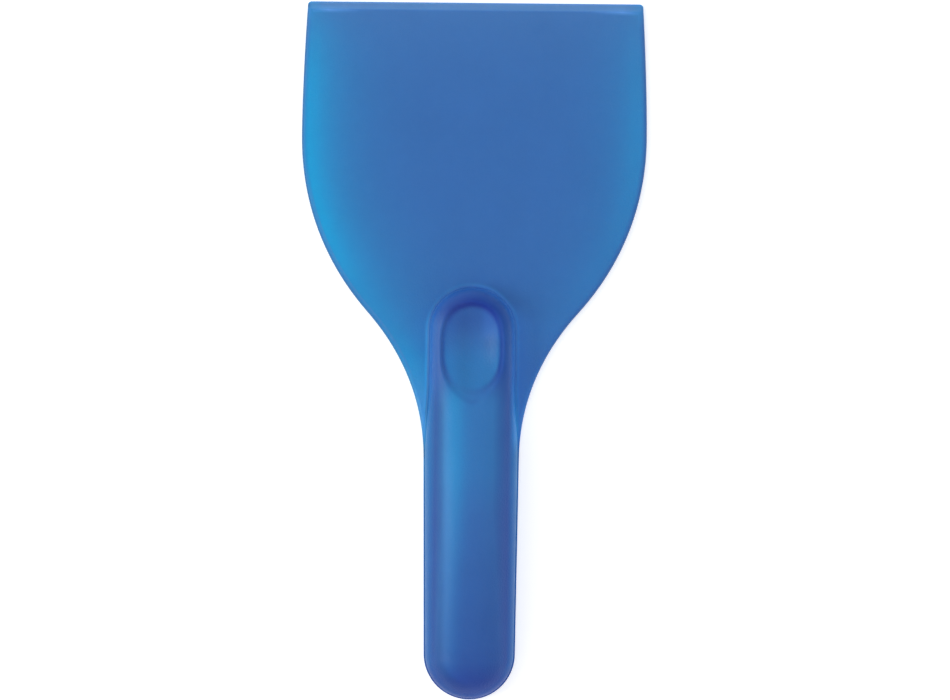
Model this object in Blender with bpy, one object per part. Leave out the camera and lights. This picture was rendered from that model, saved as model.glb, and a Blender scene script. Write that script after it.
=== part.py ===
"""Windshield ice scraper: a one-piece moulded blade and handle shell, and the flat cover that closes the handle.

It lies on its back. +Y points to the scraping edge, X runs across the blade and +Z is the front face. The origin is
the middle of the bounding box, on the surface that the scraper lies on. Everything is in metres, and distances
called "from the edge" run from the scraping edge towards the end of the handle.
"""

import bmesh
import bpy
import numpy as np

# Overall sizes
LENGTH = 0.230
HEIGHT = 0.021

# Blade outline
EDGE_WIDTH = 0.1106
MAX_WIDTH = 0.1139
MAX_WIDTH_FROM_EDGE = 0.0444
THROAT_WIDTH = 0.0708
THROAT_FROM_EDGE = 0.1017
THROAT_SLOPE = np.radians(41.2)
NECK_END_FROM_EDGE = 0.1509
CORNER_RADIUS = 0.0012
SIDE_LEAN = 0.065

# Reach of each curve's handles, as shares of the length of the curve along the blade
NECK_END_REACH = 0.553
THROAT_TO_NECK_REACH = 0.14
THROAT_TO_SHOULDER_REACH = 0.39
SHOULDER_REACH = 0.36
SIDE_REACH = 0.32
CORNER_REACH = 0.25

# Handle outline
HANDLE_WIDTH = 0.0315
HANDLE_END_WIDTH = 0.0301

# Blade section
PLATE_THICKNESS = 0.0032
EDGE_THICKNESS = 0.0010
BEVEL_LENGTH = 0.0025
FRONT_ROUNDING = 0.0012
BACK_ROUNDING = 0.0004

# Raised handle shell
ARCH_FROM_EDGE = 0.1081
ARCH_RADIUS = 0.0140
ARCH_END_FROM_EDGE = 0.126
SHELL_STEP = 0.0005
FOOT_FILLET = 0.0009
GRIP_POWER = 2.3
ARCH_POWER = 3.5
GRIP_POWER_FROM_EDGE = 0.139
ARCH_POWER_FROM_EDGE = 0.1175
CROWN_TOP_FROM_EDGE = 0.165
CROWN_DROP_AT_ARCH = 0.0070
CROWN_DROP_AT_END = 0.0032
WALL = 0.0026

# Thumb dish: its plan is a superellipse at the head, and its floor is part of a cylinder
DISH_WIDEST_FROM_EDGE = 0.1135
DISH_HEAD = 0.0144
DISH_TAIL = 0.0182
DISH_HALF_WIDTH = 0.0103
DISH_RADIUS = 0.0135
DISH_RIM_BLEND = 0.0010
HEAD_POWER = 2.45
TAIL_POWER = 3
TAIL_CLOSING = 0.8
BOWL_REACH = 0.0133
BEYOND_RISE = 2
FLANK_FADE = 4

# Back cover and its seat
REBATE_RIM = 0.0012
COVER_THICKNESS = 0.0020
TONGUE_HEIGHT = 0.0024
TONGUE_THICKNESS = 0.0012
CLEARANCE = 0.0003

# Plastic: linear colours and roughness
SHELL_BLUE = (0.040, 0.140, 0.410)
SHELL_ROUGHNESS = 0.42
COVER_BLUE = (0.036, 0.128, 0.385)
COVER_ROUGHNESS = 0.45

# Mesh fineness: intervals along each stretch of the half outline, and across the shell
END_STEPS = 7
GRIP_STEPS = 8
NECK_STEPS = 6
DISH_STEPS = 13
SHOULDER_STEPS = 9
SIDE_STEPS = 2
CORNER_STEPS = 3
EDGE_STEPS = 2
DOME_STEPS = 13
HOLLOW_STEPS = 7
FILLET_STEPS = 2
ROUNDING_STEPS = 2
POINTS_WELD = 1e-7
MIRROR_WELD = 1e-6
SHARP_ANGLE = np.radians(30)

EDGE_Y = LENGTH / 2


def bezier(start, start_handle, end_handle, end, count=200):
    """Points of one cubic Bezier curve, in the plan."""
    t = np.linspace(0, 1, count)[:, None]
    s = 1 - t
    return s**3 * start + 3 * s * s * t * start_handle + 3 * s * t * t * end_handle + t**3 * end


def blade_side():
    """The right side of the blade in the plan, from the end of the neck up to the sharp corner of the edge."""
    corner = np.array([EDGE_WIDTH / 2, EDGE_Y])
    widest = np.array([MAX_WIDTH / 2, EDGE_Y - MAX_WIDTH_FROM_EDGE])
    throat = np.array([THROAT_WIDTH / 2, EDGE_Y - THROAT_FROM_EDGE])
    neck_end = np.array([HANDLE_WIDTH / 2, EDGE_Y - NECK_END_FROM_EDGE])
    up = np.array([0.0, 1.0])
    outward = np.array([np.sin(THROAT_SLOPE), np.cos(THROAT_SLOPE)])
    lean = np.array([SIDE_LEAN, -1.0])
    neck_length = NECK_END_FROM_EDGE - THROAT_FROM_EDGE
    shoulder_length = THROAT_FROM_EDGE - MAX_WIDTH_FROM_EDGE
    neck = bezier(
        neck_end,
        neck_end + NECK_END_REACH * neck_length * up,
        throat - THROAT_TO_NECK_REACH * neck_length * outward,
        throat,
    )
    shoulder = bezier(
        throat,
        throat + THROAT_TO_SHOULDER_REACH * shoulder_length * outward,
        widest - SHOULDER_REACH * shoulder_length * up,
        widest,
    )
    side = bezier(
        widest,
        widest + SIDE_REACH * MAX_WIDTH_FROM_EDGE * up,
        corner + CORNER_REACH * MAX_WIDTH_FROM_EDGE * lean,
        corner,
    )
    return np.concatenate([neck, shoulder[1:], side[1:]])


SIDE = blade_side()


def side_x(y):
    """Half-width of the outline at y, from the end of the neck to the scraping edge."""
    return np.interp(y, SIDE[:, 1], SIDE[:, 0])


def steps(start, end, count):
    """Evenly spaced values from start up to, but not including, end."""
    return np.linspace(start, end, count, endpoint=False)


def grip_half_width(y):
    """Half-width of the tapered handle, carried on as a straight line beyond both its ends."""
    wide_y = EDGE_Y - NECK_END_FROM_EDGE
    narrow_y = -EDGE_Y + HANDLE_END_WIDTH / 2
    share = (y - narrow_y) / (wide_y - narrow_y)
    return (HANDLE_END_WIDTH + (HANDLE_WIDTH - HANDLE_END_WIDTH) * share) / 2


def smooth_step(value, start, end):
    t = np.clip((value - start) / (end - start), 0, 1)
    return t * t * (3 - 2 * t)


def shell_radius(y):
    """How far the shell's wall stands from the spine: the arch's radius, widening to the grip's own width."""
    grip = grip_half_width(y) - SHELL_STEP
    return ARCH_RADIUS + (grip - ARCH_RADIUS) * smooth_step(EDGE_Y - y, ARCH_END_FROM_EDGE, NECK_END_FROM_EDGE)


def crown_height(y):
    """Height of the shell over its spine: highest where the palm closes on it, and low over the arch."""
    from_edge = EDGE_Y - y
    end_from_edge = LENGTH - HANDLE_END_WIDTH / 2
    to_arch = 1 - smooth_step(from_edge, ARCH_FROM_EDGE, CROWN_TOP_FROM_EDGE)
    to_end = np.maximum(from_edge - CROWN_TOP_FROM_EDGE, 0) / (end_from_edge - CROWN_TOP_FROM_EDGE)
    return HEIGHT - CROWN_DROP_AT_ARCH * to_arch - CROWN_DROP_AT_END * to_end**2


def section_power(y):
    """Power of the shell's superellipse section: round along the grip and squarer over the arch."""
    to_arch = 1 - smooth_step(EDGE_Y - y, ARCH_POWER_FROM_EDGE, GRIP_POWER_FROM_EDGE)
    return GRIP_POWER + (ARCH_POWER - GRIP_POWER) * to_arch


class Stations:
    """The right half of the plan, walked from the end of the handle to the middle of the scraping edge.

    Each station has a point on the handle's spine, a direction out from it, and the outline point that it leads to.
    """

    def __init__(self):
        end_radius = HANDLE_END_WIDTH / 2
        end_y = -EDGE_Y + end_radius
        neck_y = EDGE_Y - NECK_END_FROM_EDGE
        arch_y = EDGE_Y - ARCH_FROM_EDGE
        dish_y = EDGE_Y - DISH_WIDEST_FROM_EDGE - DISH_TAIL
        arch_steps = SHOULDER_STEPS + SIDE_STEPS + 1 + CORNER_STEPS + EDGE_STEPS

        grip_y = steps(end_y, neck_y, GRIP_STEPS)
        neck_to_arch_y = np.concatenate([steps(neck_y, dish_y, NECK_STEPS), steps(dish_y, arch_y, DISH_STEPS)])
        end_angle = steps(-np.pi / 2, 0, END_STEPS)
        arch_angle = np.linspace(0, np.pi / 2, arch_steps + 1)
        straight = np.zeros(len(grip_y) + len(neck_to_arch_y))
        angle = np.concatenate([end_angle, straight, arch_angle])
        self.spine_y = np.concatenate(
            [np.full(END_STEPS, end_y), grip_y, neck_to_arch_y, np.full(arch_steps + 1, arch_y)]
        )
        self.out = np.stack([np.cos(angle), np.sin(angle)], axis=1)
        self.out[[0, -1], 0] = 0

        end = np.stack([end_radius * np.cos(end_angle), end_y + end_radius * np.sin(end_angle)], axis=1)
        grip = np.stack([grip_half_width(grip_y), grip_y], axis=1)
        neck = np.stack([side_x(neck_to_arch_y), neck_to_arch_y], axis=1)
        self.outline = np.concatenate([end, grip, neck, self.blade_outline(arch_y)])
        self.outline[0, 0] = 0
        along = np.gradient(self.outline, axis=0)
        along[0] = [1, 0]
        along[-1] = [-1, 0]
        along /= np.linalg.norm(along, axis=1)[:, None]
        self.normal = np.stack([along[:, 1], -along[:, 0]], axis=1)

        self.shell = shell_radius(self.spine_y)
        self.crown = crown_height(self.spine_y)
        reach = np.linalg.norm(self.outline - np.stack([0 * self.spine_y, self.spine_y], axis=1), axis=1)
        self.shelf = reach - self.shell

    @staticmethod
    def blade_outline(arch_y):
        """Outline points from beside the arch, round the shoulder and the corner, to the middle of the edge."""
        corner_y = EDGE_Y - CORNER_RADIUS
        shoulder_y = EDGE_Y - MAX_WIDTH_FROM_EDGE
        bevel_y = EDGE_Y - BEVEL_LENGTH
        stretch = SIDE[(SIDE[:, 1] >= arch_y) & (SIDE[:, 1] <= shoulder_y)]
        run = np.append(0, np.cumsum(np.linalg.norm(np.diff(stretch, axis=0), axis=1)))
        shoulder_rows = np.interp(steps(0, run[-1], SHOULDER_STEPS), run, stretch[:, 1])
        shoulder_rows[0] = arch_y
        rows = np.concatenate([shoulder_rows, steps(shoulder_y, bevel_y, SIDE_STEPS), [bevel_y]])
        side = np.stack([side_x(rows), rows], axis=1)
        turn = np.linspace(0, np.pi / 2, CORNER_STEPS + 1)
        corner_x = side_x(corner_y) - CORNER_RADIUS
        corner = np.stack([corner_x + CORNER_RADIUS * np.cos(turn), corner_y + CORNER_RADIUS * np.sin(turn)], axis=1)
        edge_x = steps(0, corner_x, EDGE_STEPS)[::-1]
        edge = np.stack([edge_x, np.full(EDGE_STEPS, EDGE_Y)], axis=1)
        return np.concatenate([side, corner, edge])

    def ring(self, radius, height):
        """A half ring that lies at a distance from the spine, at a height."""
        radius = np.broadcast_to(radius, self.spine_y.shape)
        points = np.zeros((len(self.spine_y), 3))
        points[:, 0] = radius * self.out[:, 0]
        points[:, 1] = self.spine_y + radius * self.out[:, 1]
        points[:, 2] = height
        return points

    def inset(self, distance, height):
        """A half ring that lies inside the outline at a distance from it, at a height."""
        plan = self.outline - self.normal * np.broadcast_to(distance, self.spine_y.shape)[:, None]
        points = np.zeros((len(self.spine_y), 3))
        points[:, :2] = plan
        points[[0, -1], 0] = 0
        points[:, 2] = height
        return points


def shell_height(x, y):
    """Height of the shell's outside over a point of the plan, before the dish is pressed into it."""
    spine = np.minimum(y, EDGE_Y - ARCH_FROM_EDGE)
    base = PLATE_THICKNESS + FOOT_FILLET
    share_out = np.hypot(x, y - spine) / shell_radius(spine)
    power = section_power(spine)
    share_up = np.maximum(1 - share_out**power, 0) ** (1 / power)
    return base + (crown_height(spine) - base) * share_up


def dish_half_width(y):
    """Half-width of the dish: a full round head, and a tail that narrows slowly and then closes in a curve."""
    along = y - (EDGE_Y - DISH_WIDEST_FROM_EDGE)
    head = np.clip(along / DISH_HEAD, 0, 1)
    tail = np.clip(-along / DISH_TAIL, 0, 1)
    head_share = (1 - head**HEAD_POWER) ** (1 / HEAD_POWER)
    return DISH_HALF_WIDTH * head_share * (1 - tail**TAIL_POWER) ** TAIL_CLOSING


def bowl(x):
    """Rise of the dish's circular bowl beside its middle."""
    return DISH_RADIUS - np.sqrt(DISH_RADIUS**2 - np.clip(x, -BOWL_REACH, BOWL_REACH) ** 2)


def dish_depth(points):
    """Depth of the thumb dish under the shell: a bowl drawn along the handle that meets it with a rounded rim."""
    x, y = points[:, 0], points[:, 1]
    half_width = dish_half_width(y)
    head_y = EDGE_Y - DISH_WIDEST_FROM_EDGE + DISH_HEAD
    tail_y = EDGE_Y - DISH_WIDEST_FROM_EDGE - DISH_TAIL
    beyond = np.maximum(np.maximum(y - head_y, tail_y - y), 0)
    floor = shell_height(half_width, y) - bowl(half_width) + bowl(x) + BEYOND_RISE * beyond
    gap = shell_height(x, y) - floor
    blend = np.maximum(DISH_RIM_BLEND - np.abs(gap), 0) ** 2 / (4 * DISH_RIM_BLEND)
    return np.maximum(gap, 0) + blend


def dome(stations, radius, base, crown, count):
    """Half rings from the spine down a rounded section, with the thumb dish pressed into them."""
    power = section_power(stations.spine_y)
    rings = []
    for turn in np.linspace(0, np.pi / 2, count + 1):
        share_out = np.sin(turn) ** (2 / power)
        share_up = max(np.cos(turn), 0) ** (2 / power)
        ring = stations.ring(radius * share_out, base + (crown - base) * share_up)
        ring[:, 2] -= dish_depth(ring) * np.minimum(1, FLANK_FADE * share_up)
        rings.append(ring)
    return rings


def plate_rings(stations):
    """Half rings over the plate: its front face, the rounding of its sides with the bevel, and its back rounding."""
    rounding = np.minimum(FRONT_ROUNDING, stations.shelf / 2)
    slope = (PLATE_THICKNESS - EDGE_THICKNESS) / BEVEL_LENGTH
    face = stations.inset(rounding, PLATE_THICKNESS)
    face[:, 1] = np.minimum(face[:, 1], EDGE_Y - BEVEL_LENGTH)
    rings = [face]
    for turn in np.linspace(0, np.pi / 2, ROUNDING_STEPS + 1)[1:]:
        ring = stations.inset(rounding * (1 - np.sin(turn)), PLATE_THICKNESS - rounding * (1 - np.cos(turn)))
        bevel = EDGE_THICKNESS + slope * (EDGE_Y - ring[:, 1])
        ring[:, 2] = np.minimum(ring[:, 2], bevel)
        rings.append(ring)
    rings.append(stations.inset(0, BACK_ROUNDING))
    rings.append(stations.inset(BACK_ROUNDING, 0))
    return rings


def foot_fillet(stations):
    """Half rings of the small fillet between the shell's wall and the plate."""
    fillet = np.minimum(FOOT_FILLET, stations.shelf / 2)
    rings = []
    for turn in np.linspace(0, np.pi / 2, FILLET_STEPS + 1)[1:]:
        radius = stations.shell + fillet * (1 - np.cos(turn))
        rings.append(stations.ring(radius, PLATE_THICKNESS + fillet * (1 - np.sin(turn))))
    return rings


def loft(name, rings, material):
    """One solid from half rings that are skinned one to the next and mirrored about the middle plane."""
    mesh = bmesh.new()
    rows = [[mesh.verts.new(point) for point in ring] for ring in rings]
    for inner, outer in zip(rows, rows[1:]):
        for i in range(len(inner) - 1):
            mesh.faces.new((inner[i], outer[i], outer[i + 1], inner[i + 1]))
    bmesh.ops.remove_doubles(mesh, verts=mesh.verts, dist=POINTS_WELD)
    data = bpy.data.meshes.new(name)
    mesh.to_mesh(data)
    mesh.free()
    data.materials.append(material)
    data.shade_smooth()
    data.set_sharp_from_angle(angle=SHARP_ANGLE)
    solid = bpy.data.objects.new(name, data)
    bpy.context.scene.collection.objects.link(solid)
    mirror = solid.modifiers.new("other_half", "MIRROR")
    mirror.use_axis = (True, False, False)
    mirror.merge_threshold = MIRROR_WELD
    return solid


def plastic(name, color, roughness):
    material = bpy.data.materials.new(name)
    material.use_nodes = True
    shader = material.node_tree.nodes["Principled BSDF"]
    shader.inputs["Base Color"].default_value = (*color, 1)
    shader.inputs["Roughness"].default_value = roughness
    shader.inputs["Metallic"].default_value = 0
    return material


def scraper_moulding(stations):
    """Blade, neck and handle shell in one piece, open at the back of the handle, with a rebate for the cover."""
    base = PLATE_THICKNESS + np.minimum(FOOT_FILLET, stations.shelf / 2)
    hollow = stations.shell - WALL
    ledge = COVER_THICKNESS + CLEARANCE
    outside = dome(stations, stations.shell, base, stations.crown, DOME_STEPS)
    inside = dome(stations, hollow, base, stations.crown - WALL, HOLLOW_STEPS)
    seat = [
        stations.ring(stations.shell - REBATE_RIM, 0),
        stations.ring(stations.shell - REBATE_RIM, ledge),
        stations.ring(hollow, ledge),
    ]
    rings = outside + foot_fillet(stations) + plate_rings(stations) + seat + inside[::-1]
    return loft("scraper_moulding", rings, plastic("frosted_blue_shell", SHELL_BLUE, SHELL_ROUGHNESS))


def handle_back_cover(stations):
    """Flat cover, flush with the plate's back, with a tongue that locates it inside the shell."""
    panel = stations.shell - REBATE_RIM - CLEARANCE
    tongue = stations.shell - WALL - CLEARANCE
    tongue_top = COVER_THICKNESS + TONGUE_HEIGHT
    rings = [
        stations.ring(0, COVER_THICKNESS),
        stations.ring(tongue - TONGUE_THICKNESS, COVER_THICKNESS),
        stations.ring(tongue - TONGUE_THICKNESS, tongue_top),
        stations.ring(tongue, tongue_top),
        stations.ring(tongue, COVER_THICKNESS),
        stations.ring(panel, COVER_THICKNESS),
        stations.ring(panel, BACK_ROUNDING),
        stations.ring(panel - BACK_ROUNDING, 0),
        stations.ring(0, 0),
    ]
    return loft("handle_back_cover", rings, plastic("frosted_blue_cover", COVER_BLUE, COVER_ROUGHNESS))


for old in list(bpy.data.objects):
    bpy.data.objects.remove(old)

half_plan = Stations()
scraper_moulding(half_plan)
handle_back_cover(half_plan)
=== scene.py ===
import bpy
import numpy as np
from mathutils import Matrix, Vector


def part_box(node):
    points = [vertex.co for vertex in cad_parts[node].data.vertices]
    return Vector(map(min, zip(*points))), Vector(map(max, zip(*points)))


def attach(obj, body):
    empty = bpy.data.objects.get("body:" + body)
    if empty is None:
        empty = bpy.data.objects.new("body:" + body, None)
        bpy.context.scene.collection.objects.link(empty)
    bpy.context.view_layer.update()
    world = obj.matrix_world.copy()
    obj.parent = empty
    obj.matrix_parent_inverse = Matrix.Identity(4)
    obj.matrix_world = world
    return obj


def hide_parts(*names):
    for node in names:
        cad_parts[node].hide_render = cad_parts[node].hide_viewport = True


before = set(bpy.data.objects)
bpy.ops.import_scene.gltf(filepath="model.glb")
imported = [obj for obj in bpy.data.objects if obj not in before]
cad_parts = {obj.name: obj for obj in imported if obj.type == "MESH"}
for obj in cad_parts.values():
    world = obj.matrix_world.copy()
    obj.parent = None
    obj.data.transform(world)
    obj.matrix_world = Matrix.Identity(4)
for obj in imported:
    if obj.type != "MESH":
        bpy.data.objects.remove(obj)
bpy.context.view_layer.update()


# ----------------------------------------------------------------------------------------------------------
# The scraper moulding: blade, flared neck and handle shell, injection moulded in one shot of translucent
# blue polystyrene with a fine spark-eroded frost. The back of the handle is left open, with a rebate round
# the opening that the cover is welded into.

moulding_low, moulding_high = (np.array(corner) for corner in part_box("scraper_moulding"))
edge_y = moulding_high[1]
end_y = moulding_low[1]
widest_half = moulding_high[0]
top_z = moulding_high[2]

# Blade outline, with distances measured back from the scraping edge
edge_half = 0.0553
widest_back = 0.0444
side_lean = 0.065
throat_half = 0.0354
throat_back = 0.1017
throat_slope = np.radians(41.2)
neck_back = 0.1509
corner_radius = 0.0012

# How far each curve of the outline reaches along its tangents, as shares of its length along the blade
neck_end_reach = 0.553
throat_to_neck_reach = 0.14
throat_to_shoulder_reach = 0.39
shoulder_end_reach = 0.36
side_start_reach = 0.32
side_end_reach = 0.25
curve_points = 800

# Handle outline and raised shell
grip_half = 0.01575
grip_end_half = 0.01505
arch_back = 0.1081
arch_radius = 0.0140
arch_end_back = 0.126
shell_step = 0.0005
foot_fillet = 0.0009
grip_power = 2.3
arch_power = 3.5
power_end_back = 0.139
power_past_dish = 0.004
crown_back = 0.165
crown_drop_at_arch = 0.0070
crown_drop_at_end = 0.0032
wall = 0.0026

# Plate section
plate_z = 0.0032
edge_z = 0.0010
bevel_length = 0.0025
front_rounding = 0.0012
back_rounding = 0.0004

# Thumb dish: its outline, its bowl and how it runs out at the rim and on the shell's flanks
dish_back = 0.1135
dish_head = 0.0144
dish_tail = 0.0182
dish_half_width = 0.0103
dish_radius = 0.0135
dish_rim_blend = 0.0010
head_power = 2.45
tail_power = 3
tail_closing = 0.8
bowl_reach = 0.99
least_square = 1e-9
beyond_rise = 2
flank_fade = 4

# Seat of the cover
rebate_rim = 0.0012
ledge_z = 0.0023
seat_chamfer = 0.0002

# Mesh fineness: rows along each stretch of the half outline, and rings across each stretch of the section
end_rows = 40
grip_rows = 50
neck_rows = 18
dish_rows = 76
dish_rows_margin = 0.002
shoulder_rows = 34
side_rows = 8
bevel_rows = 4
corner_rows = 8
edge_rows = 10
arch_rows = shoulder_rows + side_rows + bevel_rows + corner_rows + edge_rows
outside_rings = 96
inside_rings = 22
fillet_rings = 7
front_rings = 37
border_rings = 9
underside_rings = 4
back_rings = 8
finest_step = 0.0025
weld_grid = 1e7
sharp_angle = np.radians(32)


def smooth_step(value, start, end):
    """Zero before start, one after end, and between them 3 t squared less 2 t cubed."""
    t = np.clip((value - start) / (end - start), 0, 1)
    return t * t * (3 - 2 * t)


def bezier(start, start_handle, end_handle, end):
    """Cubic Bezier curve: the four points weighted by the cubic Bernstein terms."""
    t = np.linspace(0, 1, curve_points)[:, None]
    s = 1 - t
    return s**3 * start + 3 * s * s * t * start_handle + 3 * s * t * t * end_handle + t**3 * end


def blade_side():
    """Right side of the blade in the plan: neck, shoulder and side, three cubic curves sharing tangents."""
    corner = np.array([edge_half, edge_y])
    widest = np.array([widest_half, edge_y - widest_back])
    throat = np.array([throat_half, edge_y - throat_back])
    neck_end = np.array([grip_half, edge_y - neck_back])
    up = np.array([0.0, 1.0])
    outward = np.array([np.sin(throat_slope), np.cos(throat_slope)])
    lean = np.array([side_lean, -1.0])
    neck_length = neck_back - throat_back
    shoulder_length = throat_back - widest_back
    neck = bezier(
        neck_end,
        neck_end + neck_end_reach * neck_length * up,
        throat - throat_to_neck_reach * neck_length * outward,
        throat,
    )
    shoulder = bezier(
        throat,
        throat + throat_to_shoulder_reach * shoulder_length * outward,
        widest - shoulder_end_reach * shoulder_length * up,
        widest,
    )
    side = bezier(
        widest,
        widest + side_start_reach * widest_back * up,
        corner + side_end_reach * widest_back * lean,
        corner,
    )
    return np.concatenate([neck, shoulder[1:], side[1:]])


side_curve = blade_side()


def side_x(y):
    """Half-width of the blade at y, read off its side curve."""
    return np.interp(y, side_curve[:, 1], side_curve[:, 0])


def grip_half_at(y):
    """Half-width of the tapered handle at y: a straight line through its two widths."""
    share = (y - end_y - grip_end_half) / (edge_y - neck_back - end_y - grip_end_half)
    return grip_end_half + (grip_half - grip_end_half) * share


def steps(start, end, count):
    """Evenly spaced values from start up to, but not including, end."""
    return np.linspace(start, end, count, endpoint=False)


def half_plan():
    """Right half of the plan, from the end of the handle to the middle of the edge.

    Row by row: the spine's y, the direction out from the spine (x, y) and the outline point (x, y). Round
    the end the direction turns from -90 degrees to 0, along the handle and the neck it points straight
    across, and over the arch it turns on to 90 degrees while the outline point runs round the shoulder, the
    side, the corner and the edge.
    """
    centre_y = end_y + grip_end_half
    arch_y = edge_y - arch_back
    end_turn = steps(-np.pi / 2, 0, end_rows)
    grip_y = steps(centre_y, edge_y - neck_back, grip_rows)
    dish_end_y = edge_y - dish_back - dish_tail - dish_rows_margin
    neck_y = steps(edge_y - neck_back, dish_end_y, neck_rows)
    dish_y = steps(dish_end_y, arch_y, dish_rows)
    arch_turn = np.linspace(0, np.pi / 2, arch_rows)

    shoulder_y = edge_y - widest_back
    bevel_y = edge_y - bevel_length
    corner_y = edge_y - corner_radius
    corner_x = side_x(corner_y) - corner_radius
    stretch = side_curve[(side_curve[:, 1] >= arch_y) & (side_curve[:, 1] <= shoulder_y)]
    run = np.append(0, np.cumsum(np.linalg.norm(np.diff(stretch, axis=0), axis=1)))
    round_y = np.interp(steps(0, run[-1], shoulder_rows), run, stretch[:, 1])
    round_y[0] = arch_y
    blade_y = np.concatenate(
        [round_y, steps(shoulder_y, bevel_y, side_rows), steps(bevel_y, corner_y, bevel_rows)]
    )
    corner_turn = np.linspace(0, np.pi / 2, corner_rows)
    rounded_x = corner_x + corner_radius * np.cos(corner_turn)
    rounded_y = corner_y + corner_radius * np.sin(corner_turn)
    edge_x = steps(0, corner_x, edge_rows)[::-1]

    straight_y = np.concatenate([neck_y, dish_y])
    turn = np.concatenate([end_turn, np.zeros(len(grip_y) + len(straight_y)), arch_turn])
    spine_y = np.concatenate([np.full(end_rows, centre_y), grip_y, straight_y, np.full(arch_rows, arch_y)])
    outline = np.concatenate(
        [
            np.stack([grip_end_half * np.cos(end_turn), centre_y + grip_end_half * np.sin(end_turn)], axis=1),
            np.stack([grip_half_at(grip_y), grip_y], axis=1),
            np.stack([side_x(straight_y), straight_y], axis=1),
            np.stack([side_x(blade_y), blade_y], axis=1),
            np.stack([rounded_x, rounded_y], axis=1),
            np.stack([edge_x, np.full(edge_rows, edge_y)], axis=1),
        ]
    )
    return spine_y, np.stack([np.cos(turn), np.sin(turn)], axis=1), outline


def whole(half, mirrored=False):
    """A closed loop from its right half: the half, then its inner rows backwards, with x turned over."""
    other = half[-2:0:-1].copy()
    if mirrored:
        other[:, 0] *= -1
    return np.concatenate([half, other])


half_spine_y, half_out, half_outline = half_plan()
half_out[[0, -1], 0] = 0
half_outline[[0, -1], 0] = 0
spine_y = whole(half_spine_y)
out = whole(half_out, mirrored=True)
outline = whole(half_outline, mirrored=True)

# The outline's outward normal: its tangent, by central differences over the arc length, turned a quarter
# clockwise
looped = np.concatenate([outline[-1:], outline, outline[:1]])
arc = np.append(0, np.cumsum(np.linalg.norm(np.diff(looped, axis=0), axis=1)))
tangent = np.stack([np.gradient(looped[:, 0], arc), np.gradient(looped[:, 1], arc)], axis=1)[1:-1]
tangent /= np.linalg.norm(tangent, axis=1)[:, None]
normal = np.stack([tangent[:, 1], -tangent[:, 0]], axis=1)

# Along the spine: the shell's radius, and the room for its fillet and for the plate's rounded border
back_from_edge = edge_y - spine_y
grip_shell = grip_half_at(spine_y) - shell_step
shell = arch_radius + (grip_shell - arch_radius) * smooth_step(back_from_edge, arch_end_back, neck_back)
reach = np.linalg.norm(outline - np.stack([0 * spine_y, spine_y], axis=1), axis=1)
shelf = reach - shell
fillet = np.minimum(foot_fillet, shelf / 2)
rounding = np.minimum(front_rounding, shelf / 2)


def ring(radius, height):
    """A closed ring at a distance out from the spine: spine plus radius times direction, at a height."""
    x = radius * out[:, 0]
    y = spine_y + radius * out[:, 1]
    return np.stack([x, y, np.broadcast_to(height, x.shape)], axis=1)


def inset(distance, height):
    """A closed ring inside the outline: outline less distance times its outward normal, at a height."""
    plan = outline - normal * np.broadcast_to(distance, spine_y.shape)[:, None]
    return np.column_stack([plan, np.broadcast_to(height, spine_y.shape)])


def section_up(share_out, power):
    """How high a rounded section stands at a share of its half-width: the superellipse of that power."""
    return np.maximum(1 - np.abs(share_out) ** power, 0) ** (1 / power)


def power_at(y):
    """The section's power: a smooth step from the rounded grip's to the squarer arch's."""
    squarer = smooth_step(edge_y - y, power_end_back, dish_back + power_past_dish)
    return grip_power + (arch_power - grip_power) * squarer


def bowl(x):
    """Rise of a circular bowl of the dish's radius at x from its middle."""
    return dish_radius - np.sqrt(np.maximum(dish_radius**2 - x**2, least_square))


def dish_half_at(y):
    """Half-width of the dish at y: a superellipse at its head, a power of (1 - share cubed) at its tail."""
    along = y - (edge_y - dish_back)
    head = np.clip(along / dish_head, 0, 1)
    tail = np.clip(-along / dish_tail, 0, 1)
    at_head = (1 - head**head_power) ** (1 / head_power)
    at_tail = (1 - tail**tail_power) ** tail_closing
    return dish_half_width * at_head * at_tail


def crown_at(y):
    """Height of the handle's ridge at y: a smooth step down to the arch, and a quadratic drop to the end."""
    back = edge_y - y
    down = np.maximum(back - crown_back, 0) / (edge_y - end_y - grip_end_half - crown_back)
    to_arch = smooth_step(-back, -crown_back, -arch_back)
    return top_z - crown_drop_at_arch * to_arch - crown_drop_at_end * down**2


def shell_at(y):
    """Radius of the shell at y: the arch's, widening by a smooth step to the handle's."""
    grip = grip_half_at(np.minimum(y, edge_y - neck_back)) - shell_step
    return arch_radius + (grip - arch_radius) * smooth_step(edge_y - y, arch_end_back, neck_back)


def shell_height(x, y):
    """Height of the shell over a point, before the dish: the section at its distance out from the spine."""
    spine = np.minimum(y, edge_y - arch_back)
    share = np.hypot(x, y - spine) / shell_at(spine)
    foot_z = plate_z + foot_fillet
    return foot_z + (crown_at(spine) - foot_z) * section_up(share, power_at(spine))


def dish_cut(points):
    """How far the dish lies below the shell: a bowl drawn along the handle, meeting it at the dish's outline.

    Shell and bowl are joined by a smooth minimum, whose width rounds the rim.
    """
    x, y = points[:, 0], points[:, 1]
    half = dish_half_at(y)
    beyond = np.maximum(y - (edge_y - dish_back + dish_head), edge_y - dish_back - dish_tail - y)
    scoop = shell_height(half, y) - bowl(half) + bowl(np.minimum(np.abs(x), bowl_reach * dish_radius))
    scoop = scoop + beyond_rise * np.maximum(beyond, 0)
    gap = shell_height(x, y) - scoop
    blend = np.maximum(dish_rim_blend - np.abs(gap), 0) ** 2 / (4 * dish_rim_blend)
    return np.maximum(gap, 0) + blend


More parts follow.
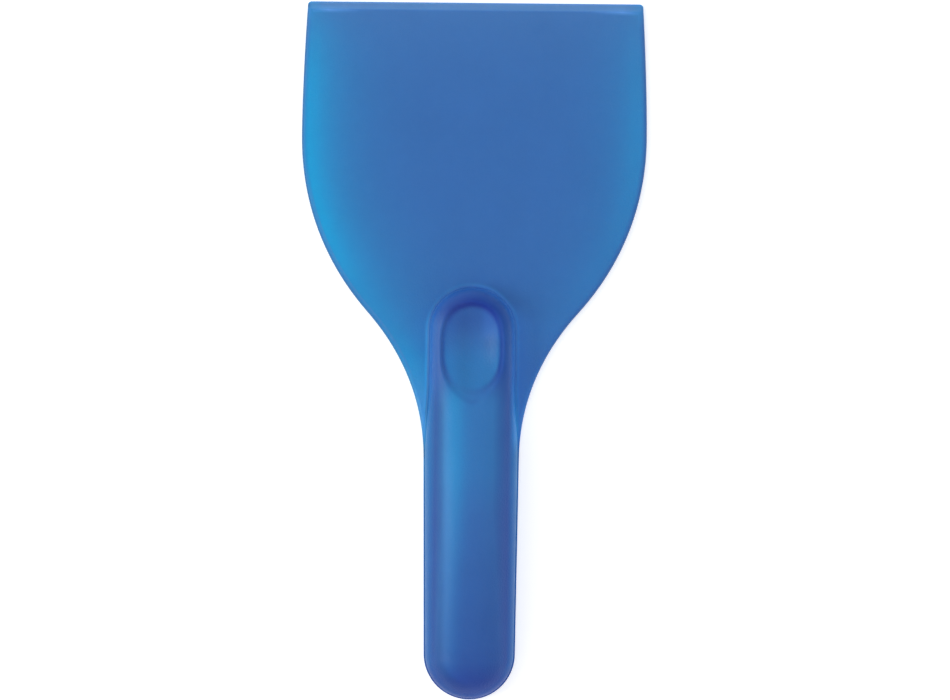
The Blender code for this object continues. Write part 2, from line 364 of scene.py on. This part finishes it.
def dome(radius, base, top, turns):
    """Rings over a rounded section: out and up by a superellipse, less the dish."""
    power = power_at(spine_y)
    rings = []
    for turn in turns:
        share_out = np.sin(turn) ** (2 / power)
        share_up = max(np.cos(turn), 0) ** (2 / power)
        one = ring(radius * share_out, base + (top - base) * share_up)
        one[:, 2] -= dish_cut(one) * np.minimum(1, flank_fade * share_up)
        rings.append(one)
    return rings


def plate_front():
    """Rings over the plate's flat front, straight from the foot of the shell to the rounding.

    The step from ring to ring grows as an exponential from either side to the middle, so that both sides have
    fine rings.
    """
    inner = ring(shell + fillet, plate_z)
    outer = inset(rounding, plate_z)
    outer[:, 1] = np.minimum(outer[:, 1], edge_y - bevel_length)
    span = np.linalg.norm(outer - inner, axis=1)[:, None]
    growth = np.log(1 + span / (2 * finest_step))
    rings = []
    for t in np.linspace(0, 1, front_rings)[1:-1]:
        near = np.expm1(growth * 2 * min(t, 1 - t)) / np.expm1(growth) / 2
        rings.append(inner + (outer - inner) * (near if t < 0.5 else 1 - near))
    return rings + [outer]


def plate_sides():
    """Rings down the rounded front border, cut in height by the bevel's plane, and round to the back."""
    slope = (plate_z - edge_z) / bevel_length
    rings = []
    for turn in np.linspace(0, np.pi / 2, border_rings)[1:]:
        one = inset(rounding * (1 - np.sin(turn)), plate_z - rounding * (1 - np.cos(turn)))
        one[:, 2] = np.minimum(one[:, 2], edge_z + slope * (edge_y - one[:, 1]))
        rings.append(one)
    for turn in np.linspace(0, np.pi / 2, underside_rings):
        rings.append(inset(back_rounding * (1 - np.cos(turn)), back_rounding * (1 - np.sin(turn))))
    return rings


def foot_of_shell():
    """Rings down the fillet at the foot of the shell: a quarter circle from the wall to the plate."""
    turns = np.linspace(0, np.pi / 2, fillet_rings)[1:]
    return [
        ring(shell + fillet * (1 - np.cos(turn)), plate_z + fillet * (1 - np.sin(turn)))
        for turn in turns
    ]


crown = crown_at(spine_y)
base = plate_z + fillet
hollow = shell - wall
outside = dome(shell, base, crown, np.linspace(0, np.pi / 2, outside_rings))
inside = dome(hollow, base, crown - wall, np.linspace(0, np.pi / 2, inside_rings))
back_flat = inset(back_rounding, 0)
seat_edge = ring(shell - rebate_rim + seat_chamfer, 0)
flat_back = [back_flat + (seat_edge - back_flat) * share for share in np.linspace(0, 1, back_rings)[1:]]
seat = [
    ring(shell - rebate_rim, seat_chamfer),
    ring(shell - rebate_rim, ledge_z),
    ring(hollow + seat_chamfer, ledge_z),
    ring(hollow, ledge_z + seat_chamfer),
]
moulding_rings = np.array(
    outside + foot_of_shell() + plate_front() + plate_sides() + flat_back + seat + inside[::-1]
)


def skin(name, rings):
    """A closed mesh from rings: quads from each ring to the next, with coinciding points made one."""
    count, around = rings.shape[:2]
    flat = rings.reshape(-1, 3)
    places = np.round(flat * weld_grid).astype(np.int64)
    _, first, index = np.unique(places, axis=0, return_index=True, return_inverse=True)
    grid = index.reshape(count, around)
    after = np.roll(grid, -1, axis=1)
    quads = np.stack([grid[:-1], grid[1:], after[1:], after[:-1]], axis=-1).reshape(-1, 4)
    left = quads[:, 0] == quads[:, 3]
    right = quads[:, 1] == quads[:, 2]
    faces = quads[~left & ~right].tolist()
    faces += quads[left & ~right][:, :3].tolist()
    faces += quads[right & ~left][:, [0, 1, 3]].tolist()
    mesh = bpy.data.meshes.new(name)
    mesh.from_pydata(flat[first], [], faces)
    mesh.update()
    mesh.shade_smooth()
    mesh.set_sharp_from_angle(angle=sharp_angle)
    made = bpy.data.objects.new(name, mesh)
    bpy.context.scene.collection.objects.link(made)
    return made, flat[first]


def note(mesh, name, values):
    """Writes one number for each point of a mesh."""
    mesh.attributes.new(name, "FLOAT", "POINT").data.foreach_set("value", values.astype(np.float32))


moulding, points = skin("blade_and_handle", moulding_rings)

# Where each point lies: back from the edge, out from the spine, on which side, and past the foot of the shell
side_blend = 0.005
foot_limit = 0.0153
foot_blend = (0.0004, -0.0002)

across = points[:, 0]
back = edge_y - points[:, 1]
spine_point = np.clip(points[:, 1], end_y + grip_end_half, edge_y - arch_back)
from_spine = np.hypot(across, points[:, 1] - spine_point)
to_right = smooth_step(across, -side_blend, side_blend)
to_left = 1 - to_right
past_foot = from_spine - np.minimum(shell_at(spine_point) + foot_fillet, foot_limit)
on_shell = smooth_step(past_foot, *foot_blend)
on_plate = 1 - on_shell


def distance_to(line, places):
    """Distance in the plan from each place to the nearest point of a line, worked out block by block."""
    nearest = []
    for block in np.array_split(places, 60):
        nearest.append(np.hypot(*(block[:, None, :2] - line[None]).transpose(2, 0, 1)).min(axis=1))
    return np.concatenate(nearest)


def soft_line(distance, width):
    """One on a line and dying away beside it: e to the minus square of the distance over the width."""
    return np.exp(-((distance / width) ** 2))


# Painted glow: light that enters the edges of the plate and runs on inside it, dying away, is painted into
# its colour. More of it is painted on the left, the side of the lamp, and the rounded border itself shows
# less of it.
border_width = 0.0024
plateau_blend = 0.001
side_end_gap = 0.001
corner_loss = 0.85
corner_loss_reach = 0.013
left_plateau = 0.0036
left_reach = 0.0091
left_border_share = 0.34
left_border_gain = 0.5
left_border_zone = (0.085, 0.120)
left_dip = 0.50
left_dip_zone = (0.072, 0.108)
left_rise_zone = (0.106, 0.134)
right_plateau = 0.0048
right_reach = 0.0073
right_border_share = 0.05
right_strength = 0.46
right_end_back = 0.120
right_fade = 0.070


def edge_glow(gap, plateau, reach, border_share):
    """One up to the plateau, then falling by e for each reach, and less over the border."""
    past = gap - plateau
    past = (past + np.sqrt(past**2 + plateau_blend**2)) / 2
    border = border_share + (1 - border_share) * smooth_step(gap, 0, border_width)
    return np.exp(-past / reach) * border


beside_blade = (outline[:, 1] < edge_y - side_end_gap) & (outline[:, 1] > edge_y - neck_back)
left_gap = distance_to(outline[beside_blade & (outline[:, 0] < 0)], points)
right_gap = distance_to(outline[beside_blade & (outline[:, 0] > 0)], points)
from_corner = 1 - corner_loss * np.exp(-back / corner_loss_reach)
left_border = left_border_share + left_border_gain * smooth_step(back, *left_border_zone)
left_glow = edge_glow(left_gap, left_plateau, left_reach, left_border)
neck_dip = 1 - left_dip * smooth_step(back, *left_dip_zone) + left_dip * smooth_step(back, *left_rise_zone)
left_glow *= from_corner * neck_dip
right_glow = edge_glow(right_gap, right_plateau, right_reach, right_border_share)
right_glow *= right_strength * from_corner * np.clip((right_end_back - back) / right_fade, 0, 1)

# Painted glow on the handle: the light from the neck fades along its length. It is painted strongest in a
# band left of the ridge, a painted highlight on the lamp's side, and the walls, the dish and the line where
# the shell meets the plate are painted glowing with it.
band_scale = 0.0152
band_place = -0.38
band_shift = 0.12
band_width = 0.24
band_light = 0.32
band_loss = 0.06
band_zone = (0.120, 0.132)
down_grip_zone = (0.160, 0.205)
neck_light = 0.15
neck_light_zone = (0.150, 0.172)
in_dish_depths = (0.0010, 0.0026)
dish_light = 0.25
dish_light_zone = (0.108, 0.120)
wall_light = 0.34
wall_light_loss = 0.12
wall_light_radii = (0.0110, 0.0138)
wall_light_zone = (0.122, 0.138)
foot_line_place = 0.0001
foot_line_width = 0.0005
foot_line_right = 0.22
foot_line_left_zone = (0.098, 0.112)
foot_line_end = (0.140, 0.150)
foot_line_light = 0.60
corner_light_reach = 0.0038
corner_light_share = 0.50

down_grip = smooth_step(back, *down_grip_zone)
in_dish = smooth_step(dish_cut(points), *in_dish_depths)
band = soft_line(across / band_scale - band_place + band_shift * down_grip, band_width)
grip_glow = band * (band_light - band_loss * down_grip)
grip_glow += neck_light * (1 - smooth_step(back, *neck_light_zone))
dish_glow = dish_light * smooth_step(back, *dish_light_zone)
shell_glow = grip_glow * smooth_step(back, *band_zone) * (1 - in_dish) + dish_glow * in_dish
wall_glow = (wall_light - wall_light_loss * down_grip) * smooth_step(from_spine, *wall_light_radii)
wall_glow *= smooth_step(back, *wall_light_zone)
# Painted highlight line along the foot of the shell
foot_line = soft_line(past_foot - foot_line_place, foot_line_width)
foot_line *= foot_line_right + (1 - foot_line_right) * to_left * smooth_step(back, *foot_line_left_zone)
foot_line *= 1 - smooth_step(back, *foot_line_end)
# Painted glow at both corners of the scraping edge
corner_glow = soft_line(np.hypot(np.abs(across) - edge_half, back), corner_light_reach)
edge_light = (left_glow + right_glow) * on_plate + (shell_glow + wall_glow) * on_shell
edge_light += foot_line_light * foot_line + corner_light_share * corner_glow
note(moulding.data, "edge_light", np.clip(edge_light, 0, 1))

# Where the wall of the shell is seen end on there is more plastic to look through, and its blue is deeper.
# The deep blue painted there is partly that and partly painted shade on the flanks, stronger on the right,
# away from the lamp. It is painted shade in the shaded head of the dish, along the crease at the dish's
# tail and over the rounded end of the handle.
arch_depth_shade_curve = ([0.0088, 0.0150], [0.95, 0.12])
arch_side_loss = 0.62
arch_side_regain = 0.37
arch_side_zone = (0.100, 0.108)
left_depth_shade_curve = ([0.0088, 0.0118, 0.0150], [0, 0.56, 0.34])
right_depth_shade_curve = ([0.0070, 0.0120, 0.0150], [0, 0.70, 0.40])
arch_to_grip_zone = (0.116, 0.134)
end_shade_curve = ([0.166, 0.190, 0.211, 0.217, 0.223], [0, 0.24, 0.40, 0.52, 0.80])
dish_head_shade = 0.28
dish_head_shade_zone = (0.104, 0.111)
crease_shade_amount = 0.20
crease_width = 0.0011
crease_length = 0.83
crease_points = 200
crease_right_loss = 0.9
crease_right_fade = 0.004

# Painted shade, with the deeper blue of the thick wall, across the flanks of the arch and the grip
arch_depth_shade = np.interp(from_spine, *arch_depth_shade_curve)
arch_depth_shade *= 1 - (arch_side_loss - arch_side_regain * to_right) * smooth_step(back, *arch_side_zone)
left_depth_shade = np.interp(from_spine, *left_depth_shade_curve)
right_depth_shade = np.interp(from_spine, *right_depth_shade_curve)
grip_depth_shade = left_depth_shade + (right_depth_shade - left_depth_shade) * to_right
wall_depth_shade = arch_depth_shade + (grip_depth_shade - arch_depth_shade) * smooth_step(back, *arch_to_grip_zone)
# Painted shade in the head of the dish
head_shade = dish_head_shade * (1 - smooth_step(back, *dish_head_shade_zone))
# Painted shade along the crease at the dish's tail, weaker on the right
tail_y = edge_y - dish_back - dish_tail * (1 - np.linspace(0, crease_length, crease_points) ** 2)
tail_line = np.stack([np.append(-dish_half_at(tail_y), dish_half_at(tail_y)), np.tile(tail_y, 2)], axis=1)
crease_shade = crease_shade_amount * soft_line(distance_to(tail_line, points), crease_width)
crease_shade *= 1 - crease_right_loss * smooth_step(across, 0, crease_right_fade)
# Painted shade over the rounded end of the handle
depth_and_shade = np.maximum(wall_depth_shade * (1 - in_dish) + head_shade * in_dish, np.interp(back, *end_shade_curve))
note(moulding.data, "depth_and_painted_shade", np.maximum(depth_and_shade, crease_shade) * on_shell)

# Painted fill light: the base colour is made lighter where light passing through the shell's wall fills the
# shade at its foot, most on the right where the lamp's shadow falls, and in the dish. A painted shade darkens
# the left flank of the handle.
beside_zone = (0.095, 0.108)
fill_end_zone = (0.142, 0.150)
foot_fill_reach = 0.003
foot_fill_start = 0.0150
foot_fill = 0.05
foot_fill_left = 0.08
foot_fill_right = 0.40
wall_fill_left = 0.04
wall_fill_gain = 0.36
wall_fill_radii = (0.0122, 0.0146)
dish_fill_left = 0.26
dish_fill_left_span = (0.002, 0.008)
dish_fill_right = 0.14
dish_fill_right_loss = 0.20
dish_fill_right_span = (0.002, 0.005)
dish_fill_loss_zone = (0.108, 0.113)
dish_fill_depths = (0.0003, 0.0016)
neck_fill = 0.11
neck_fill_zone = (0.122, 0.135)
left_shade = 0.17
left_shade_radii = (0.0075, 0.0100)
left_shade_zone = (0.122, 0.136)
left_shade_border_zone = (0.140, 0.150)

beside = smooth_step(back, *beside_zone)
fill_end = 1 - smooth_step(back, *fill_end_zone)
plate_fill = foot_fill + beside * (foot_fill_right * to_right + foot_fill_left * to_left)
plate_fill *= np.exp(-np.maximum(from_spine - foot_fill_start, 0) / (foot_fill_reach * (1 + beside)))
plate_fill *= fill_end
wall_fill = (wall_fill_left + wall_fill_gain * to_right) * smooth_step(from_spine, *wall_fill_radii)
wall_fill *= fill_end
right_fill = dish_fill_right - dish_fill_right_loss * smooth_step(back, *dish_fill_loss_zone)
dish_fill = dish_fill_left * smooth_step(-across, *dish_fill_left_span)
dish_fill += smooth_step(across, *dish_fill_right_span) * right_fill
dish_fill *= smooth_step(dish_cut(points), *dish_fill_depths)
fill_light = plate_fill * on_plate + (wall_fill + dish_fill) * on_shell
fill_light += neck_fill * to_left * smooth_step(back, *neck_fill_zone) * on_plate * fill_end
# Painted shade on the left side of the handle, outside the painted bright band
shade = left_shade * to_left * smooth_step(from_spine, *left_shade_radii)
shade *= smooth_step(back, *left_shade_zone)
fill_light -= shade * np.maximum(on_shell, smooth_step(back, *left_shade_border_zone))

# Painted shade darkens the rounded border at its very edge. Painted highlights put fine bright lines on the
# scraping edge, along the lower edge of the bevel, strongest towards the corners, and along the foot of the
# shell.
border_dark_right = 0.18
border_dark_left_gain = 0.18
border_dark_span = (0.0001, 0.0011)
glint_width = 0.0005
glint_back = 0.0005
glint_span = (0.034, 0.051)
glint_border_gap = (0.0014, 0.0026)
glint_fill = 0.42
bevel_line = 0.08
bevel_line_width = 0.0004
foot_line_fill = 0.15
lip_fill = 0.25
lip_width = 0.0005

border_gap = np.minimum(left_gap, right_gap)
border_dark = (border_dark_right + border_dark_left_gain * to_left) * on_plate
border_dark *= 1 - smooth_step(border_gap, *border_dark_span)
glint_line = soft_line(back - bevel_length - glint_back, glint_width)
glint_line *= smooth_step(np.abs(across), *glint_span) * smooth_step(border_gap, *glint_border_gap)
fill_light += bevel_line * soft_line(back - bevel_length, bevel_line_width) + glint_fill * glint_line
fill_light += foot_line_fill * foot_line + lip_fill * soft_line(back, lip_width) - border_dark
note(moulding.data, "fill_light", fill_light)

# Painted highlight: the bevel of the scraping edge is painted pale, and a little of the paleness spreads into
# the plate. The left border of the neck, the web beside the handle and the bright lines are painted pale too.
bevel_pale = 0.88
bevel_corner_loss = 0.5
bevel_blend = (-0.0001, 0.0002)
plate_pale = 0.31
plate_pale_reach = 0.017
plate_pale_glow_loss = 0.6
border_pale = 0.42
border_pale_place = 0.0014
border_pale_width = 0.0004
border_pale_zone = (0.050, 0.075)
web_pale = 0.58
web_pale_zone = (0.115, 0.135)
foot_line_pale = 0.4
glint_pale = 0.9

past_bevel = back - bevel_length
bevel = (bevel_pale - bevel_corner_loss * corner_glow) * (1 - smooth_step(past_bevel, *bevel_blend))
spread = plate_pale * np.exp(-np.maximum(past_bevel, 0) / plate_pale_reach)
spread *= 1 - plate_pale_glow_loss * left_glow
border_line = border_pale * soft_line(left_gap - border_pale_place, border_pale_width)
border_line *= smooth_step(back, *border_pale_zone) * on_plate
web = web_pale * to_left * smooth_step(back, *web_pale_zone) * on_plate
pale_painted_light = [bevel, spread, border_line, web, foot_line_pale * foot_line, glint_pale * glint_line]
note(moulding.data, "pale_painted_light", np.max(pale_painted_light, axis=0))

# The steep sides and the right rim of the dish left the mould with a coarser frost than the faces, and so
# with less of a sheen
steep_normals = (0.42, 0.72)
rim_frost_curve = ([0.0078, 0.0088, 0.0105, 0.0125], [0, 1, 1, 0])
rim_frost = 0.8
rim_frost_end = (0.118, 0.128)

normals = np.empty(len(points) * 3, np.float32)
moulding.data.vertex_normals.foreach_get("vector", normals)
upright = 1 - smooth_step(np.abs(normals.reshape(-1, 3)[:, 2]), *steep_normals)
right_rim = rim_frost * to_right * np.interp(from_spine, *rim_frost_curve)
right_rim *= 1 - smooth_step(back, *rim_frost_end)
note(moulding.data, "coarse_frost", np.maximum(upright, right_rim) * on_shell)


def node(tree, kind, **settings):
    """A new node of a kind, with its settings."""
    made = tree.nodes.new(kind)
    for name, value in settings.items():
        setattr(made, name, value)
    return made


def blend_colour(tree, share, first, second):
    """A node that mixes two colours by a share: first times (1 - share), plus second times share."""
    mix = node(tree, "ShaderNodeMix", data_type="RGBA", clamp_factor=True)
    tree.links.new(share, mix.inputs["Factor"])
    for socket, value in ((mix.inputs[6], first), (mix.inputs[7], second)):
        if isinstance(value, tuple):
            socket.default_value = (*value, 1)
        else:
            tree.links.new(value, socket)
    return mix.outputs[2]


def point_value(tree, name):
    """The socket that gives the number noted at each point under a name."""
    return node(tree, "ShaderNodeAttribute", attribute_name=name).outputs["Fac"]


def frosted_blue(name, centre, glow, deep_and_shade, pale):
    """Translucent frosted blue: base colour by painted light and shade and depth; grain in bump and gloss."""
    material = bpy.data.materials.new(name)
    material.use_nodes = True
    tree = material.node_tree
    shader = tree.nodes["Principled BSDF"]
    place = node(tree, "ShaderNodeTexCoord").outputs["Object"]

    # Clouds of slightly uneven pigment, and the grain of the frost
    cloud = node(tree, "ShaderNodeTexNoise")
    cloud.inputs["Scale"].default_value = 60
    cloud.inputs["Detail"].default_value = 6
    cloud.inputs["Roughness"].default_value = 0.68
    tree.links.new(place, cloud.inputs["Vector"])
    grain = node(tree, "ShaderNodeTexNoise")
    grain.inputs["Scale"].default_value = 1500
    grain.inputs["Detail"].default_value = 3
    tree.links.new(place, grain.inputs["Vector"])

    # Painted light and shade: edge glow, deep blue with painted shade, and pale painted light
    colour = blend_colour(tree, point_value(tree, "edge_light"), centre, glow)
    colour = blend_colour(tree, point_value(tree, "depth_and_painted_shade"), colour, deep_and_shade)
    colour = blend_colour(tree, point_value(tree, "pale_painted_light"), colour, pale)

    # Base colour: the blend, times the cloud's unevenness, times (1 + painted fill light)
    uneven = node(tree, "ShaderNodeMapRange")
    uneven.inputs["To Min"].default_value = 0.93
    uneven.inputs["To Max"].default_value = 1.07
    tree.links.new(cloud.outputs["Fac"], uneven.inputs["Value"])
    filled = node(tree, "ShaderNodeMath", operation="MULTIPLY_ADD")
    tree.links.new(point_value(tree, "fill_light"), filled.inputs[0])
    tree.links.new(uneven.outputs["Result"], filled.inputs[1])
    tree.links.new(uneven.outputs["Result"], filled.inputs[2])
    scaled = node(tree, "ShaderNodeVectorMath", operation="SCALE")
    tree.links.new(colour, scaled.inputs[0])
    tree.links.new(filled.outputs["Value"], scaled.inputs["Scale"])
    tree.links.new(scaled.outputs["Vector"], shader.inputs["Base Color"])

    gloss = node(tree, "ShaderNodeMapRange")
    gloss.inputs["To Min"].default_value = 0.34
    gloss.inputs["To Max"].default_value = 0.46
    tree.links.new(grain.outputs["Fac"], gloss.inputs["Value"])
    tree.links.new(gloss.outputs["Result"], shader.inputs["Roughness"])

    frost = node(tree, "ShaderNodeBump")
    frost.inputs["Strength"].default_value = 0.85
    frost.inputs["Distance"].default_value = 0.00012
    tree.links.new(grain.outputs["Fac"], frost.inputs["Height"])
    tree.links.new(frost.outputs["Normal"], shader.inputs["Normal"])

    shader.inputs["Subsurface Weight"].default_value = 0.5
    shader.inputs["Subsurface Scale"].default_value = 0.0025
    shader.inputs["Subsurface Radius"].default_value = (0.3, 0.8, 1.0)
    shader.inputs["IOR"].default_value = 1.5
    sheen = node(tree, "ShaderNodeMapRange")
    sheen.inputs["To Min"].default_value = 0.2
    sheen.inputs["To Max"].default_value = 0.04
    tree.links.new(point_value(tree, "coarse_frost"), sheen.inputs["Value"])
    tree.links.new(sheen.outputs["Result"], shader.inputs["Specular IOR Level"])
    return material


moulding_blue = frosted_blue(
    "frosted_blue_shell",
    centre=(0.034, 0.145, 0.425),
    glow=(0.008, 0.335, 0.655),
    deep_and_shade=(0.012, 0.037, 0.270),
    pale=(0.088, 0.236, 0.510),
)
moulding.data.materials.append(moulding_blue)
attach(moulding, "root")
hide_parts("scraper_moulding")


# ----------------------------------------------------------------------------------------------------------
# The handle's back cover: a flat panel of the same plastic, moulded with a tongue that drops inside the
# shell, then welded along the ledge. Its outer face lies flush with the back of the blade.

cover_gap = 0.0003
cover_z = 0.0020
tongue_z = 0.0044
tongue_wall = 0.0012
cover_chamfer = 0.00035
chamfer_rings = 5
face_rings = 8

panel = shell - rebate_rim - cover_gap
tongue = shell - wall - cover_gap
cover_rings = [
    ring(0 * panel, cover_z),
    ring(tongue - tongue_wall, cover_z),
    ring(tongue - tongue_wall, tongue_z - seat_chamfer),
    ring(tongue - tongue_wall + seat_chamfer, tongue_z),
    ring(tongue - seat_chamfer, tongue_z),
    ring(tongue, tongue_z - seat_chamfer),
    ring(tongue, cover_z),
    ring(panel - seat_chamfer, cover_z),
    ring(panel, cover_z - seat_chamfer),
    ring(panel, cover_chamfer),
]
cover_rings += [
    ring(panel - cover_chamfer * (1 - np.cos(turn)), cover_chamfer * (1 - np.sin(turn)))
    for turn in np.linspace(0, np.pi / 2, chamfer_rings)[1:]
]
cover_rings += [ring((panel - cover_chamfer) * share, 0) for share in np.linspace(1, 0, face_rings)[1:]]
cover, cover_points = skin("handle_back_cover_panel", np.array(cover_rings))

# None of the painted light or shade is put on the cover, so it has one even blue
for name in ("edge_light", "depth_and_painted_shade", "pale_painted_light", "fill_light", "coarse_frost"):
    note(cover.data, name, np.zeros(len(cover_points)))
cover_blue = frosted_blue(
    "frosted_blue_cover",
    centre=(0.032, 0.136, 0.415),
    glow=(0.009, 0.330, 0.655),
    deep_and_shade=(0.012, 0.037, 0.270),
    pale=(0.088, 0.236, 0.510),
)
cover.data.materials.append(cover_blue)
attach(cover, "root")
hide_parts("handle_back_cover")


# ----------------------------------------------------------------------------------------------------------
# The table: a plain white surface that the scraper lies on. It gives off a little light, so that it stays
# white.

table_half = 2.5
table_gap = 0.0001
table_z = moulding_low[2] - table_gap
table_corners = [(-table_half, -table_half, table_z), (table_half, -table_half, table_z)]
table_corners += [(table_half, table_half, table_z), (-table_half, table_half, table_z)]
table_mesh = bpy.data.meshes.new("table")
table_mesh.from_pydata(table_corners, [], [(0, 1, 2, 3)])
table = bpy.data.objects.new("table", table_mesh)
bpy.context.scene.collection.objects.link(table)
white = bpy.data.materials.new("white_table")
white.use_nodes = True
white_shader = white.node_tree.nodes["Principled BSDF"]
white_shader.inputs["Base Color"].default_value = (0.88, 0.88, 0.88, 1)
white_shader.inputs["Roughness"].default_value = 0.9
white_shader.inputs["Specular IOR Level"].default_value = 0.1
white_shader.inputs["Emission Color"].default_value = (1, 1, 1, 1)
white_shader.inputs["Emission Strength"].default_value = 0.4
table_mesh.materials.append(white)


# ----------------------------------------------------------------------------------------------------------
# The light: a bright white room, and one wide soft box on the left that looks at the middle of the scraper.

world = bpy.data.worlds.new("white_room")
world.use_nodes = True
world.node_tree.nodes["Background"].inputs["Color"].default_value = (1, 1, 1, 1)
world.node_tree.nodes["Background"].inputs["Strength"].default_value = 0.85
bpy.context.scene.world = world

box_place = (-1.22, 0.0, 0.82)
box_light = bpy.data.lights.new("left_box", "AREA")
box_light.shape = "RECTANGLE"
box_light.size = 0.9
box_light.size_y = 0.55
box_light.energy = 8.0
box = bpy.data.objects.new("left_box", box_light)
box.location = box_place
box.rotation_mode = "QUATERNION"
box.rotation_quaternion = Vector(box_place).to_track_quat("Z", "Y")
bpy.context.scene.collection.objects.link(box)

bpy.context.scene.view_settings.view_transform = "Standard"


# ----------------------------------------------------------------------------------------------------------
# The camera looks straight down on the scraper with a long lens, turned half a degree.

frame_height = 0.2313
frame_shape = 950 / 700
camera_turn = np.radians(0.57)
camera_x = 0.0009
camera_y = 0.0003
focus_z = 0.001

camera_data = bpy.data.cameras.new("camera")
camera_data.lens = 160
camera_data.sensor_width = 36
camera_data.clip_end = 20
camera_height = frame_height * frame_shape * camera_data.lens / camera_data.sensor_width
camera = bpy.data.objects.new("camera", camera_data)
camera.location = (camera_x, camera_y, camera_height + focus_z)
camera.rotation_euler = (0, 0, camera_turn)
bpy.context.scene.collection.objects.link(camera)
bpy.context.scene.camera = camera
